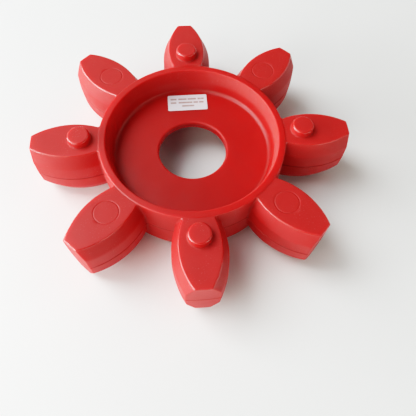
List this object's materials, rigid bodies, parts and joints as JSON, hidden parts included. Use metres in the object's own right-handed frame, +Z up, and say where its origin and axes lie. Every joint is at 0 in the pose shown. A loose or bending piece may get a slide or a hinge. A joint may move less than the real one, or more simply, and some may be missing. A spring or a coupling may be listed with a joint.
{
  "type": "jaw coupling spider",
  "caption": "Elastomer star insert for a jaw coupling: crowned teeth round a cupped ring with a shaft hole, spacer pips and a small paper label.",
  "frame": {"origin": "centre of the shaft hole on the mould's parting plane, half way through the thickness", "axes": "+Z along the coupling's axis, out of the face whose cup holds the label; +X through the middle of a tooth whose spacer pip stands up along +Z"},
  "size_m": [0.16, 0.16, 0.0376],
  "materials": {
    "red_polyurethane": "satin moulded polyurethane",
    "label_paper": "matt coated paper"
  },
  "bodies": {
    "root": {"spider_element": "red_polyurethane", "adhesive_label": "label_paper"}
  },
  "joints": []
}
